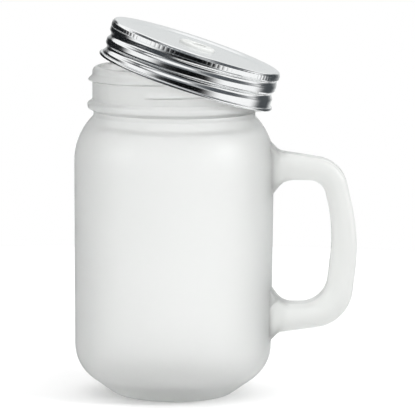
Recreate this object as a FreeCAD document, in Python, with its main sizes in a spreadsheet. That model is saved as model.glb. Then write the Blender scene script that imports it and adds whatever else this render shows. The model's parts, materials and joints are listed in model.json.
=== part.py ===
"""Frosted glass jar mug with a side handle and a perched tinplate screw lid.

Millimetres, +Z up. The origin is the centre of the jar's foot, +X points at the handle.
The lid's pieces are drawn in the lid's own frame, with the curled edge at height zero,
and are then placed where the lid rests, tilted, on the rim of the jar.
"""
import math
import os

import FreeCAD, Part
import Sketcher

from FreeCAD import Placement, Rotation, Vector

DIMENSIONS = {
    # glass jar: foot, body and shoulder
    "jar_height": 132.4,
    "foot_radius": 22.8,
    "foot_width": 4.5,
    "foot_round": 8.0,
    "push_up": 2.5,
    "base_slope": 35.5,
    "base_taper": 0.7,
    "base_round": 16.5,
    "body_radius": 40.1,
    "shoulder_height": 103.8,
    "shoulder_slope": 49.0,
    "shoulder_round": 25.0,
    "body_wall": 3.4,
    "floor_thickness": 4.5,
    "inner_base_round": 10.0,
    # glass jar: neck, bead below the thread, and rim
    "neck_radius": 32.9,
    "neck_wall": 3.3,
    "crease_depth": 0.5,
    "crease_band": 1.75,
    "crease_round": 0.9,
    "bead_rise": 1.9,
    "bead_width": 4.8,
    "bead_land": 2.0,
    "bead_round": 1.0,
    "rim_round": 2.2,
    "rim_inner_round": 0.9,
    # one thread pitch serves the neck and the lid
    "thread_pitch": 5.3,
    "thread_rise": 1.7,
    "thread_width": 3.7,
    "thread_seam": 0.12,
    "thread_sink": 0.55,
    "thread_foot": 1.3,
    "thread_below_rim": 8.85,
    "thread_turns": 1.055,
    "thread_start_angle": 242.0,
    "thread_runout": 16.0,
    # applied glass handle
    "handle_depth": 15.0,
    "handle_edge_round": 3.0,
    "handle_root_depth": 2.2,
    "handle_reach": 74.4,
    "handle_middle_rise": 1.9,
    "handle_side_share": 1.03,
    "grip_thickness": 10.1,
    "top_arm_height": 98.6,
    "top_arm_drop": 4.0,
    "top_arm_thickness": 11.2,
    "top_corner_set_in": 7.0,
    "top_corner_round": 13.6,
    "bottom_arm_height": 25.6,
    "bottom_arm_rise": 4.2,
    "bottom_arm_thickness": 11.7,
    "bottom_corner_set_in": 3.8,
    "bottom_corner_round": 16.5,
    "window_top_round": 7.0,
    "window_bottom_round": 11.0,
    "root_flare": 2.8,
    "root_round": 8.0,
    # tinplate lid
    "lid_wall": 0.3,
    "lid_clearance": 0.3,
    "lid_height": 15.6,
    "lid_top_round": 1.1,
    "curl_radius": 0.75,
    "curl_stand": 1.1,
    "roll_depth": 1.0,
    "roll_width": 2.2,
    "roll_start_height": 2.7,
    "roll_turns": 1.55,
    "roll_start_angle": 115.0,
    "roll_runout": 25.0,
    "knurl_band": 2.0,
    "knurl_below_top": 1.0,
    "knurl_step": 0.2,
    "knurl_raise": 0.05,
    "knurl_depth": 0.3,
    "knurl_count": 110,
    "ring_width": 6.0,
    "ring_slope_width": 1.6,
    "panel_drop": 0.7,
    "panel_round": 0.7,
    "straw_hole_radius": 5.6,
    # seal ring and straw grommet
    "seal_thickness": 0.65,
    "seal_drop": 0.05,
    "seal_clearance": 0.3,
    "seal_round": 0.3,
    "straw_radius": 3.9,
    "grommet_flange_width": 1.75,
    "grommet_flange_height": 1.1,
    "grommet_lip_width": 1.3,
    "grommet_lip_height": 1.0,
    "grommet_round": 0.45,
    "grommet_clearance": 0.05,
    # how the lid perches on the rim
    "lid_tilt": 18.1,
    "lid_heading": -3.0,
    "lid_spin": 0.0,
    "perch_clearance": 0.3,
}

# a thread is lofted through sections this many degrees apart
SECTION_STEP = 6.0
# the least share of a thread's height, where it has sunk into its wall
LEAST_RISE = 0.05
# the lid's rolled ridge is rooted in its thin wall at these shares of the wall's thickness
ROLL_ROOT_SHARES = (0.24, 0.52, 0.7)
# points on the rim that the perched lid is tested against
RIM_POINTS = 720
# the perched lid is slid along by this much at a time, then the last stretch is halved
SLIDE_STEP = 0.25
SLIDE_HALVINGS = 40
# lengths closer than this are the same
SAME = 1e-6

# the lid's wall passes over the neck's thread with a clearance all round
LID_RADIUS = "(dims.neck_radius + dims.thread_rise + dims.lid_clearance + dims.lid_wall)"
# levels and radii that several of the lid's pieces share
PANEL_TOP = "dims.lid_height - dims.panel_drop"
PANEL_UNDER = f"{PANEL_TOP} - dims.lid_wall"
RING_UNDER = "dims.lid_height - dims.lid_wall"
RING_INNER = f"({LID_RADIUS} - dims.ring_width)"
RING_SLOPE = "atan2(dims.panel_drop; dims.ring_slope_width)"
RING_SHIFT = f"dims.lid_wall * tan({RING_SLOPE} / 2)"
KNURL_SEAT = f"({LID_RADIUS} - dims.knurl_step)"
CURL_CIRCLE = f"({LID_RADIUS} + dims.curl_stand - dims.curl_radius)"
SEAL_TOP = f"{RING_UNDER} - dims.seal_drop"
SEAL_UNDER = f"{SEAL_TOP} - dims.seal_thickness"

doc = FreeCAD.newDocument("jar_mug")
sheet = doc.addObject("Spreadsheet::Sheet", "dims")
for row, (alias, value) in enumerate(DIMENSIONS.items(), start=1):
    sheet.set(f"A{row}", alias)
    sheet.set(f"B{row}", str(value))
    sheet.setAlias(f"B{row}", alias)
doc.recompute()


def size(alias):
    """Return one driving dimension from the sheet."""
    return float(sheet.get(alias))


def worked_out(expression):
    """Return what an expression of the sheet comes to."""
    return float(sheet.evalExpression(expression))


def new_body(name):
    """Add an empty body."""
    return doc.addObject("PartDesign::Body", name)


def upright_sketch(body, name):
    """Add a sketch on the body's own XZ plane."""
    sketch = body.newObject("Sketcher::SketchObject", name)
    plane = next(f for f in body.Origin.OriginFeatures if f.Role == "XZ_Plane")
    sketch.AttachmentSupport = [(plane, "")]
    sketch.MapMode = "FlatFace"
    return sketch


def bind(sketch, kind, parts, expression):
    """Add a dimension to a sketch and tie it to an expression of the sheet."""
    value = float(sketch.evalExpression(expression))
    index = sketch.addConstraint(Sketcher.Constraint(kind, *parts, value))
    sketch.setExpression(f"Constraints[{index}]", expression)


def place_point(sketch, geometry, end, across, up):
    """Tie a point to its two coordinates; a zero lies on the axis itself."""
    if across == "0":
        sketch.addConstraint(Sketcher.Constraint("PointOnObject", geometry, end, -2))
    else:
        bind(sketch, "DistanceX", (-1, 1, geometry, end), across)
    if up == "0":
        sketch.addConstraint(Sketcher.Constraint("PointOnObject", geometry, end, -1))
    else:
        bind(sketch, "DistanceY", (-1, 1, geometry, end), up)


def draw_outline(sketch, corners):
    """Draw a closed outline of straight runs whose corners may be rounded.

    Each corner is (across, up) or (across, up, round), all expressions of the sheet. A round
    is an arc tangent to both runs, and its corner stays as a construction point.
    """
    count = len(corners)
    points = [Vector(*(float(sketch.evalExpression(e)) for e in corner[:2]), 0) for corner in corners]
    rounds = [float(sketch.evalExpression(c[2])) if len(c) > 2 else 0.0 for c in corners]
    ahead = [(points[(i + 1) % count] - points[i]).normalize() for i in range(count)]
    turns = []
    setbacks = []
    for i in range(count):
        turn = math.atan2(ahead[i - 1].cross(ahead[i]).z, ahead[i - 1].dot(ahead[i]))
        turns.append(turn)
        setbacks.append(rounds[i] * math.tan(abs(turn) / 2))
    starts = [points[i] + ahead[i] * setbacks[i] for i in range(count)]
    ends = [points[(i + 1) % count] - ahead[i] * setbacks[(i + 1) % count] for i in range(count)]
    for start, end in zip(starts, ends):
        sketch.addGeometry(Part.LineSegment(start, end))
    for i, corner in enumerate(corners):
        before = (i - 1) % count
        if len(corner) == 2:
            sketch.addConstraint(Sketcher.Constraint("Coincident", before, 2, i, 1))
            place_point(sketch, i, 1, *corner)
            continue
        side = math.copysign(1.0, turns[i])
        inward = Vector(-ahead[before].y, ahead[before].x, 0) * side
        centre = ends[before] + inward * rounds[i]
        first, last = (ends[before], starts[i]) if side > 0 else (starts[i], ends[before])
        angles = [math.atan2(p.y - centre.y, p.x - centre.x) for p in (first, last)]
        circle = Part.Circle(centre, Vector(0, 0, 1), rounds[i])
        arc = sketch.addGeometry(Part.ArcOfCircle(circle, *angles))
        mark = sketch.addGeometry(Part.Point(points[i]), True)
        place_point(sketch, mark, 1, *corner[:2])
        entry, leave = (1, 2) if side > 0 else (2, 1)
        sketch.addConstraint([
            Sketcher.Constraint("PointOnObject", mark, 1, before),
            Sketcher.Constraint("PointOnObject", mark, 1, i),
            Sketcher.Constraint("Tangent", before, 2, arc, entry),
            Sketcher.Constraint("Tangent", arc, leave, i, 1),
        ])
        bind(sketch, "Radius", (arc,), corner[2])


def turned_body(name, corners):
    """Make a body by turning an outline about the vertical axis."""
    body = new_body(name)
    sketch = upright_sketch(body, name + "_profile")
    draw_outline(sketch, corners)
    turned = body.newObject("PartDesign::Revolution", name + "_turned")
    turned.Profile = sketch
    turned.ReferenceAxis = (sketch, ["V_Axis"])
    turned.Angle = 360.0
    doc.recompute()
    return body


def helical_loft(name, wall_radius, rise, root, width, outward, start, turns, angle, runout):
    """Loft a round-crested ridge along a right-hand helix, sinking into its wall at both ends.

    Every section is an arc on a straight-sided foot, in a plane through the axis. root gives
    three depths in the wall: the arc's ends, the same at the run-outs, and the foot. outward
    is +1 for a ridge that stands out of the wall and -1 for one that points at the axis.
    """
    seam_depth, sink_depth, foot_depth = root
    sweep = 360.0 * turns
    level = sweep - 2 * runout
    steps = math.ceil(level / SECTION_STEP)
    sinking = [0.0, runout / 2]
    stations = sinking + [runout + level * step / steps for step in range(steps + 1)]
    stations += [sweep - along for along in reversed(sinking)]
    foot = wall_radius - outward * foot_depth
    wires = []
    for along in stations:
        fade = min(1.0, along / runout, (sweep - along) / runout)
        seam = wall_radius - outward * (sink_depth + (seam_depth - sink_depth) * fade)
        crest = seam + outward * (rise + seam_depth) * max(fade, LEAST_RISE)
        height = start + size("thread_pitch") * along / 360.0
        low = height - width / 2
        high = height + width / 2
        arc = Part.Arc(Vector(seam, 0, low), Vector(crest, 0, height), Vector(seam, 0, high))
        corners = [(seam, high), (foot, high), (foot, low), (seam, low)]
        sides = Part.makePolygon([Vector(across, 0, up) for across, up in corners])
        wire = Part.Wire([arc.toShape()] + sides.Edges)
        wire.rotate(Vector(0, 0, 0), Vector(0, 0, 1), angle + along)
        wires.append(wire)
    feature = doc.addObject("Part::Feature", name)
    feature.Shape = Part.makeLoft(wires, True, True)
    return feature


def combine(kind, name, base, tool):
    """Add a two-piece boolean to the document."""
    result = doc.addObject(kind, name)
    result.Base = base
    result.Tool = tool
    return result


def make_jar():
    """Jar: turned wall with bead and pushed-up foot, and the neck's thread."""
    foot_inner = "dims.foot_radius - dims.foot_width"
    base_radius = "(dims.body_radius - dims.base_taper)"
    base_corner = f"({base_radius} - dims.foot_radius) * tan(dims.base_slope)"
    crease = "(dims.neck_radius - dims.crease_depth)"
    crease_corner = f"dims.shoulder_height + (dims.body_radius - {crease}) * tan(dims.shoulder_slope)"
    bead = "dims.neck_radius + dims.bead_rise"
    bead_low = f"{crease_corner} + dims.crease_band"
    bead_high = f"{bead_low} + dims.bead_width"
    land_low = f"{bead_low} + (dims.bead_width - dims.bead_land) / 2"
    land_high = f"{land_low} + dims.bead_land"
    # the inner wall is the outer one moved in by its thickness
    neck_inner = "dims.neck_radius - dims.neck_wall"
    body_inner = "dims.body_radius - dims.body_wall"
    base_inner = f"{base_radius} - dims.body_wall"
    shoulder_inner = "dims.shoulder_height - dims.body_wall * tan(45 - dims.shoulder_slope / 2)"
    neck_foot = f"{shoulder_inner} + ({body_inner} - ({neck_inner})) * tan(dims.shoulder_slope)"
    base_inner_corner = f"{base_corner} + dims.body_wall * tan(45 - dims.base_slope / 2)"
    floor = "dims.push_up + dims.floor_thickness"
    floor_radius = f"{base_inner} - ({base_inner_corner} - ({floor})) / tan(dims.base_slope)"
    wall = turned_body("jar_wall", [
        ("0", "dims.push_up"),
        (foot_inner, "0"),
        ("dims.foot_radius", "0", "dims.foot_round"),
        (base_radius, base_corner, "dims.base_round"),
        ("dims.body_radius", "dims.shoulder_height", "dims.shoulder_round"),
        (crease, crease_corner, "dims.crease_round"),
        (crease, bead_low, "dims.crease_round / 2"),
        (bead, land_low, "dims.bead_round"),
        (bead, land_high, "dims.bead_round"),
        ("dims.neck_radius", bead_high, "dims.crease_round / 2"),
        ("dims.neck_radius", "dims.jar_height", "dims.rim_round"),
        (neck_inner, "dims.jar_height", "dims.rim_inner_round"),
        (neck_inner, neck_foot, "dims.shoulder_round / 2"),
        (body_inner, shoulder_inner, "dims.shoulder_round - dims.body_wall"),
        (base_inner, base_inner_corner, "dims.base_round - dims.body_wall"),
        (floor_radius, floor, "dims.inner_base_round"),
        ("0", floor),
    ])
    thread = helical_loft(
        "neck_thread",
        wall_radius=size("neck_radius"),
        rise=size("thread_rise"),
        root=(size("thread_seam"), size("thread_sink"), size("thread_foot")),
        width=size("thread_width"),
        outward=1,
        start=size("jar_height") - size("thread_below_rim"),
        turns=size("thread_turns"),
        angle=size("thread_start_angle"),
        runout=size("thread_runout"),
    )
    jar = combine("Part::Fuse", "jar_body", wall, thread)
    return wall, jar


def make_handle(wall):
    """Handle: a D-shaped bar with flared roots, trimmed to the jar's wall."""
    body = new_body("handle_bar")
    sketch = upright_sketch(body, "handle_outline")
    root = "dims.body_radius - dims.handle_root_depth"
    # the flare outruns the edge rounding, so that the rounding fades out on it
    flare = "dims.handle_edge_round + dims.root_flare"
    flare_end = f"{root} + {flare}"
    window_top = "dims.top_arm_height - dims.top_arm_thickness"
    window_bottom = "dims.bottom_arm_height + dims.bottom_arm_thickness"
    top_corner = "dims.top_arm_height - dims.top_arm_drop"
    bottom_corner = "dims.bottom_arm_height + dims.bottom_arm_rise"
    # the grip stands out furthest a little above halfway between the arms
    middle = "(dims.bottom_arm_height + dims.top_arm_height) / 2 + dims.handle_middle_rise"
    side_round = "dims.handle_side_share * (dims.top_arm_height - dims.bottom_arm_height)"
    # the window's side runs beside the grip's outer side, one grip thickness away
    top_run = f"({top_corner} - ({middle}))"
    bottom_run = f"({middle} - ({bottom_corner}))"
    top_lean = f"dims.top_corner_set_in / {top_run}"
    bottom_lean = f"dims.bottom_corner_set_in / {bottom_run}"
    window_side = "dims.handle_reach - dims.grip_thickness"
    window_upper = f"{window_side} - {top_lean} * ({window_top} - ({middle}))"
    window_lower = f"{window_side} - {bottom_lean} * ({middle} - ({window_bottom}))"
    draw_outline(sketch, [
        (root, f"dims.bottom_arm_height - ({flare})"),
        (flare_end, "dims.bottom_arm_height", "dims.root_round"),
        ("dims.handle_reach - dims.bottom_corner_set_in", bottom_corner, "dims.bottom_corner_round"),
        ("dims.handle_reach", middle, side_round),
        ("dims.handle_reach - dims.top_corner_set_in", top_corner, "dims.top_corner_round"),
        (flare_end, "dims.top_arm_height", "dims.root_round"),
        (root, f"dims.top_arm_height + {flare}"),
        (root, f"{window_top} - ({flare})"),
        (flare_end, window_top, "dims.root_round"),
        (window_upper, window_top, "dims.window_top_round"),
        (window_side, middle, f"{side_round} - dims.grip_thickness"),
        (window_lower, window_bottom, "dims.window_bottom_round"),
        (flare_end, window_bottom, "dims.root_round"),
        (root, f"{window_bottom} + {flare}"),
    ])
    pad = body.newObject("PartDesign::Pad", "handle_pad")
    pad.Profile = sketch
    pad.SideType = "Symmetric"
    pad.setExpression("Length", "dims.handle_depth")
    doc.recompute()
    rounding = body.newObject("PartDesign::Fillet", "handle_rounding")
    half_depth = size("handle_depth") / 2
    root_x = size("body_radius") - size("handle_root_depth")
    rim_edges = []
    for number, edge in enumerate(pad.Shape.Edges, start=1):
        box = edge.BoundBox
        on_side = abs(abs(box.Center.y) - half_depth) < SAME and box.YLength < SAME
        at_root = box.XMax < root_x + SAME
        if on_side and not at_root:
            rim_edges.append(f"Edge{number}")
    rounding.Base = (pad, rim_edges)
    rounding.setExpression("Radius", "dims.handle_edge_round")
    body.Tip = rounding
    doc.recompute()
    return combine("Part::Cut", "jar_handle", body, wall)


def make_knurl():
    """Knurl: a ring of fine upright teeth round the top of the lid's wall."""
    seat = worked_out(KNURL_SEAT)
    root = seat + size("knurl_raise")
    crest = root + size("knurl_depth")
    low = size("lid_height") - size("knurl_below_top") - size("knurl_band")
    teeth = int(size("knurl_count"))
    # roots and crests take turns round the ring
    corners = [root, crest] * teeth
    points = []
    for number, radius in enumerate(corners):
        angle = 2 * math.pi * number / len(corners)
        points.append(Vector(radius * math.cos(angle), radius * math.sin(angle), low))
    outline = Part.makePolygon(points + points[:1])
    band = Part.Face(outline).extrude(Vector(0, 0, size("knurl_band")))
    # the teeth are rooted halfway into the wall
    core = Part.makeCylinder(seat - size("lid_wall") / 2, size("knurl_band"), Vector(0, 0, low))
    feature = doc.addObject("Part::Feature", "lid_knurl")
    feature.Shape = band.cut(core)
    return feature


def make_lid():
    """Lid: tinplate shell with a curled edge, rolled thread, knurl and recessed panel."""
    inner = f"{LID_RADIUS} - dims.lid_wall"
    seat_inner = f"{KNURL_SEAT} - dims.lid_wall"
    panel = f"{RING_INNER} - dims.ring_slope_width"
    step = "dims.lid_height - dims.knurl_below_top - dims.knurl_band - dims.knurl_step"
    skin = turned_body("lid_skin", [
        (LID_RADIUS, "dims.curl_radius"),
        (LID_RADIUS, step),
        (KNURL_SEAT, f"{step} + dims.knurl_step"),
        (KNURL_SEAT, "dims.lid_height", "dims.lid_top_round"),
        (RING_INNER, "dims.lid_height", "dims.panel_round"),
        (panel, PANEL_TOP, "dims.panel_round"),
        ("dims.straw_hole_radius", PANEL_TOP),
        ("dims.straw_hole_radius", PANEL_UNDER),
        (f"{panel} + {RING_SHIFT}", PANEL_UNDER, "dims.panel_round + dims.lid_wall"),
        (f"{RING_INNER} + {RING_SHIFT}", RING_UNDER, "dims.panel_round - dims.lid_wall"),
        (seat_inner, RING_UNDER, "dims.lid_top_round - dims.lid_wall"),
        (seat_inner, f"{step} + dims.knurl_step"),
        (inner, step),
        (inner, "dims.curl_radius"),
    ])
    curl = doc.addObject("Part::Torus", "lid_curl")
    curl.setExpression("Radius1", CURL_CIRCLE)
    curl.setExpression("Radius2", "dims.curl_radius")
    curl.setExpression("Placement.Base.z", "dims.curl_radius")
    wall = size("lid_wall")
    rolled = {
        "rise": size("roll_depth"),
        "outward": -1,
        "start": size("roll_start_height"),
        "turns": size("roll_turns"),
        "angle": size("roll_start_angle"),
        "runout": size("roll_runout"),
    }
    # the wall is pushed in along the helix: a ridge inside and a groove outside, one wall apart
    ridge = helical_loft(
        "lid_ridge",
        wall_radius=worked_out(LID_RADIUS) - wall,
        root=[wall * share for share in ROLL_ROOT_SHARES],
        width=size("roll_width") + 2 * wall,
        **rolled,
    )
    groove = helical_loft(
        "lid_groove",
        wall_radius=worked_out(LID_RADIUS),
        root=(size("thread_seam"), size("thread_sink"), size("thread_foot")),
        width=size("roll_width"),
        **rolled,
    )
    edged = combine("Part::Fuse", "lid_edged", skin, curl)
    ridged = combine("Part::Fuse", "lid_ridged", edged, ridge)
    knurled = combine("Part::Fuse", "lid_knurled", ridged, make_knurl())
    return combine("Part::Cut", "lid_shell", knurled, groove)


def make_seal():
    """Seal: a flat rubber ring that lies in the channel under the lid's raised ring."""
    inner = f"{RING_INNER} + {RING_SHIFT} + dims.seal_clearance"
    outer = f"{KNURL_SEAT} - dims.lid_top_round - dims.seal_clearance"
    return turned_body("lid_seal", [
        (inner, SEAL_UNDER, "dims.seal_round"),
        (outer, SEAL_UNDER, "dims.seal_round"),
        (outer, SEAL_TOP),
        (inner, SEAL_TOP),
    ])


def make_grommet():
    """Grommet: a soft collar that grips the edge of the straw hole between two flanges."""
    waist = "dims.straw_hole_radius - dims.grommet_clearance"
    lip = "dims.straw_hole_radius + dims.grommet_lip_width"
    flange = "dims.straw_hole_radius + dims.grommet_flange_width"
    top = f"{PANEL_TOP} + dims.grommet_flange_height"
    low = f"{PANEL_UNDER} - dims.grommet_lip_height"
    return turned_body("straw_grommet", [
        ("dims.straw_radius", low),
        (lip, low, "dims.grommet_round"),
        (lip, PANEL_UNDER),
        (waist, PANEL_UNDER),
        (waist, PANEL_TOP),
        (flange, PANEL_TOP),
        (flange, top, "dims.grommet_round"),
        ("dims.straw_radius", top),
    ])


def perch_pose():
    """Find where the tilted lid rests: its ceiling and its curled edge both on the rim.

    The lid leans towards its heading. For a trial offset along the heading, the lid comes
    down until its ceiling is one clearance above the rim; the offset is then the one at which
    the curled edge is one clearance from the rim as well.
    """
    tilt = math.radians(size("lid_tilt"))
    rim_round = size("rim_round")
    rim_circle = size("neck_radius") - rim_round
    rim_height = size("jar_height") - rim_round
    curl_radius = size("curl_radius")
    curl_circle = worked_out(CURL_CIRCLE)
    gap = size("perch_clearance")
    ceiling = min(worked_out(PANEL_UNDER), worked_out(SEAL_UNDER))
    axis = Vector(math.sin(tilt), 0, math.cos(tilt))
    along = Vector(math.cos(tilt), 0, -math.sin(tilt))
    rim = []
    for step in range(RIM_POINTS):
        angle = 2 * math.pi * step / RIM_POINTS
        rim.append(Vector(rim_circle * math.cos(angle), rim_circle * math.sin(angle), rim_height))

    def lid_foot(offset):
        """Centre of the lid's foot when its ceiling just clears the rim."""
        reach = max(point.dot(axis) for point in rim) + rim_round + gap
        lift = (reach - ceiling - offset * axis.x) / axis.z
        return Vector(offset, 0, lift)

    def curl_gap(offset):
        """Clear distance between the curled edge and the rim at this offset."""
        centre = lid_foot(offset) + axis * curl_radius
        least = math.inf
        for point in rim:
            arm = point - centre
            height = arm.dot(axis)
            radius = math.hypot(arm.dot(along), arm.y)
            least = min(least, math.hypot(radius - curl_circle, height))
        return least - curl_radius - rim_round

    # the gap falls as the lid slides on, so the first crossing is where it comes to rest
    high = 0.0
    while curl_gap(high) > gap:
        high += SLIDE_STEP
    low = high - SLIDE_STEP
    for _ in range(SLIDE_HALVINGS):
        middle = (low + high) / 2
        if curl_gap(middle) > gap:
            low = middle
        else:
            high = middle
    heading = Rotation(Vector(0, 0, 1), size("lid_heading"))
    lean = Rotation(Vector(0, 1, 0), size("lid_tilt"))
    spin = Rotation(Vector(0, 0, 1), size("lid_spin"))
    return Placement(heading.multVec(lid_foot(low)), heading * lean * spin)


def check_document():
    """Stop if any object of the document failed."""
    for item in doc.Objects:
        if "Invalid" in item.State or "Error" in item.State:
            raise RuntimeError(f"{item.Label} failed: {item.State}")


wall, jar_body = make_jar()
jar_handle = make_handle(wall)
lid_parts = [make_lid(), make_seal(), make_grommet()]
pose = perch_pose()
for piece in lid_parts:
    piece.Placement = pose
doc.recompute()
check_document()

nodes = [jar_body, jar_handle] + lid_parts
for piece in nodes:
    if piece.Shape.isNull() or not piece.Shape.isValid():
        raise RuntimeError(f"{piece.Label} has no valid shape")
os.makedirs("parts", exist_ok=True)
for piece in nodes:
    piece.Shape.exportStep(f"parts/{piece.Label}.step")
    print(piece.Label, "solids", len(piece.Shape.Solids), "volume", round(piece.Shape.Volume, 1))
lid_axis = pose.Rotation.multVec(Vector(0, 0, 1))
print("lid foot", [round(v, 7) for v in pose.Base], "axis", [round(v, 9) for v in lid_axis])
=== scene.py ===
"""Looks of a frosted glass jar mug whose tinplate screw lid is perched on its rim.

Sizes are in millimetres, in the part's own frame: +Z up from the centre of the jar's foot and
+X towards the handle. The lid's pieces are drawn in the lid's own frame, with the curled edge
at height zero. Meshes are stored in metres.
"""
from __future__ import annotations

import json
import logging
import math
from dataclasses import dataclass, replace
from enum import Enum
from typing import Any, Sequence

import bpy
import numpy as np
from mathutils import Matrix, Vector


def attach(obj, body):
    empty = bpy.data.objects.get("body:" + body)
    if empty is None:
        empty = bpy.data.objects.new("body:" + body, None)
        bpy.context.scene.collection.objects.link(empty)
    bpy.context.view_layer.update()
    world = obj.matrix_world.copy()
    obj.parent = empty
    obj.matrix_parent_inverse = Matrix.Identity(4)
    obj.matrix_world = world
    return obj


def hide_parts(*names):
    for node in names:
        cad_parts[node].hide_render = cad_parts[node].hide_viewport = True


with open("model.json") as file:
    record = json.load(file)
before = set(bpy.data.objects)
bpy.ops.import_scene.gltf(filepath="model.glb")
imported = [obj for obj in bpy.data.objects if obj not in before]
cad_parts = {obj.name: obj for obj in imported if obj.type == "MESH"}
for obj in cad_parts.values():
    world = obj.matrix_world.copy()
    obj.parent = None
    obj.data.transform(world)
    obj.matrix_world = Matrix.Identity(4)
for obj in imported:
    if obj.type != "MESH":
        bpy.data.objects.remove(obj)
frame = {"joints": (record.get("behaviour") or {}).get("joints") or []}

log = logging.getLogger("jar_mug")

MM = 0.001
PHOTO_PIXELS = 415
CREASE_DEGREES = 40.0
ZERO = 1e-9


class Body(Enum):
    """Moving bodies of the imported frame."""

    JAR = "jar"
    SEAL = "seal_ring"
    LID = "lid"


class Slot(Enum):
    """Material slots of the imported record."""

    GLASS = "frosted_glass"
    TIN = "tinplate"
    RUBBER = "seal_rubber"
    SILICONE = "silicone"


@dataclass(frozen=True)
class Corner:
    """Corner of an outline: its place across and up, and the radius that rounds it."""

    across: float
    up: float
    radius: float = 0.0


def to_linear(colour: str) -> tuple[float, float, float, float]:
    """Turn an sRGB colour into a linear one.

    Args:
        colour: Hex value, with its leading #.

    Returns:
        Red, green, blue and an alpha of 1.
    """
    srgb = np.array([int(colour[i:i + 2], 16) for i in (1, 3, 5)]) / 255.0
    linear = np.where(srgb <= 0.04045, srgb / 12.92, ((srgb + 0.055) / 1.055) ** 2.4)
    return (*(float(channel) for channel in linear), 1.0)


def add_node(
    tree: bpy.types.NodeTree, kind: str, inputs: dict[Any, Any] | None = None, **settings: Any,
) -> bpy.types.Node:
    """Add a shader node with its settings and links.

    Args:
        tree: Node tree that gets the node.
        kind: Blender's type name of the node.
        inputs: Input names or numbers, each with a value or with the socket that feeds it.
        settings: Attributes to set on the node itself.

    Returns:
        The new node.
    """
    node = tree.nodes.new(kind)
    for name, value in settings.items():
        setattr(node, name, value)
    for key, value in (inputs or {}).items():
        if isinstance(value, bpy.types.NodeSocket):
            tree.links.new(value, node.inputs[key])
        else:
            node.inputs[key].default_value = value
    return node


def per_metre(size_mm: float) -> float:
    """Texture scale, in cycles per metre, of a pattern whose features have that size."""
    return 1.0 / (size_mm * MM)


def smooth_step(share: np.ndarray) -> np.ndarray:
    """Ease a share from 0 to 1 by 3 t^2 - 2 t^3, held at 0 and 1 outside."""
    held = np.clip(share, 0.0, 1.0)
    return held * held * (3.0 - 2.0 * held)


def rounded_run(
    corners: Sequence[Corner], arc_points: int, line_points: Sequence[int],
) -> np.ndarray:
    """Points along straight lines whose corners are rounded.

    Between unit directions d0 and d1 that differ by the angle a, an arc of radius r starts
    r tan(a/2) before the corner and ends as far behind it. Its points are found by turning
    the arm from the arc's centre through a.

    Args:
        corners: Corners in order; the first and last are plain end points.
        arc_points: Points on every rounded corner.
        line_points: Extra points inside each straight line, one count per line.

    Returns:
        Array of (across, up) rows.
    """
    places = np.array([(corner.across, corner.up) for corner in corners])
    ahead = np.diff(places, axis=0)
    ahead /= np.linalg.norm(ahead, axis=1)[:, None]
    rounded = []
    for number, corner in enumerate(corners):
        if corner.radius == 0.0 or number in (0, len(corners) - 1):
            rounded.append(places[number][None])
            continue
        before, after = ahead[number - 1], ahead[number]
        turn = math.atan2(before[0] * after[1] - before[1] * after[0], before @ after)
        setback = corner.radius * math.tan(abs(turn) / 2)
        side = math.copysign(1.0, turn)
        start = places[number] - before * setback
        arm = -side * corner.radius * np.array([-before[1], before[0]])
        angles = np.linspace(0.0, turn, arc_points)
        arms = np.stack([
            arm[0] * np.cos(angles) - arm[1] * np.sin(angles),
            arm[0] * np.sin(angles) + arm[1] * np.cos(angles),
        ], axis=1)
        rounded.append(start - arm + arms)
    run = [rounded[0]]
    for number, count in enumerate(line_points):
        shares = np.linspace(0.0, 1.0, count + 2)[1:-1, None]
        first, last = rounded[number][-1], rounded[number + 1][0]
        run += [first + (last - first) * shares, rounded[number + 1]]
    return np.concatenate(run)


def turned(outline: np.ndarray, angles: np.ndarray) -> np.ndarray:
    """Carry an outline round the vertical axis: (r cos a, r sin a, z) for every row and angle.

    Args:
        outline: Rows of (r, z).
        angles: Angles in radians.

    Returns:
        Array of rows by angles by three.
    """
    radius = outline[:, 0, None]
    height = np.broadcast_to(outline[:, 1, None], (len(outline), len(angles)))
    return np.stack([radius * np.cos(angles), radius * np.sin(angles), height], axis=-1)


def full_turn(count: int) -> np.ndarray:
    """Evenly spaced angles of one turn, without the closing one."""
    return np.linspace(0.0, 2 * math.pi, count, endpoint=False)


@dataclass(frozen=True)
class Helix:
    """Screw thread on a round wall: its start, rise, length and section, with angles in degrees.

    Each end sinks into the wall over the run-out. The half widths lie below and above the crest.
    """

    start_angle: float
    start_height: float
    pitch: float
    turns: float
    runout: float
    half_widths: tuple[float, float]

    def share(self, angle: np.ndarray, height: np.ndarray) -> np.ndarray:
        """Share of the thread's full height at places of the wall, from 0 to 1.

        On lap k the thread has run s = angle - start + 360 k degrees and its crest is at
        h = start height + pitch s / 360. Its section is cos^2 of the distance from the crest
        over the half width on that side.

        Args:
            angle: Angles in degrees.
            height: Heights, of a shape that combines with angle.

        Returns:
            Array of shares.
        """
        sweep = 360.0 * self.turns
        share = np.zeros(np.broadcast(angle, height).shape)
        for lap in range(math.ceil(self.turns) + 1):
            along = np.mod(angle - self.start_angle, 360.0) + 360.0 * lap
            fade = smooth_step(np.minimum(along, sweep - along) / self.runout)
            away = height - self.start_height - self.pitch * along / 360.0
            away = np.clip(away / np.where(away < 0.0, *self.half_widths), -1.0, 1.0)
            share = np.maximum(share, fade * np.cos(0.5 * math.pi * away) ** 2)
        return share


def grid_quads(number: np.ndarray) -> np.ndarray:
    """Quads (i, j), (i + 1, j), (i + 1, j + 1) and (i, j + 1) of a grid of point numbers."""
    corners = [number[:-1, :-1], number[1:, :-1], number[1:, 1:], number[:-1, 1:]]
    return np.stack(corners, axis=-1).reshape(-1, 4)


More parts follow.
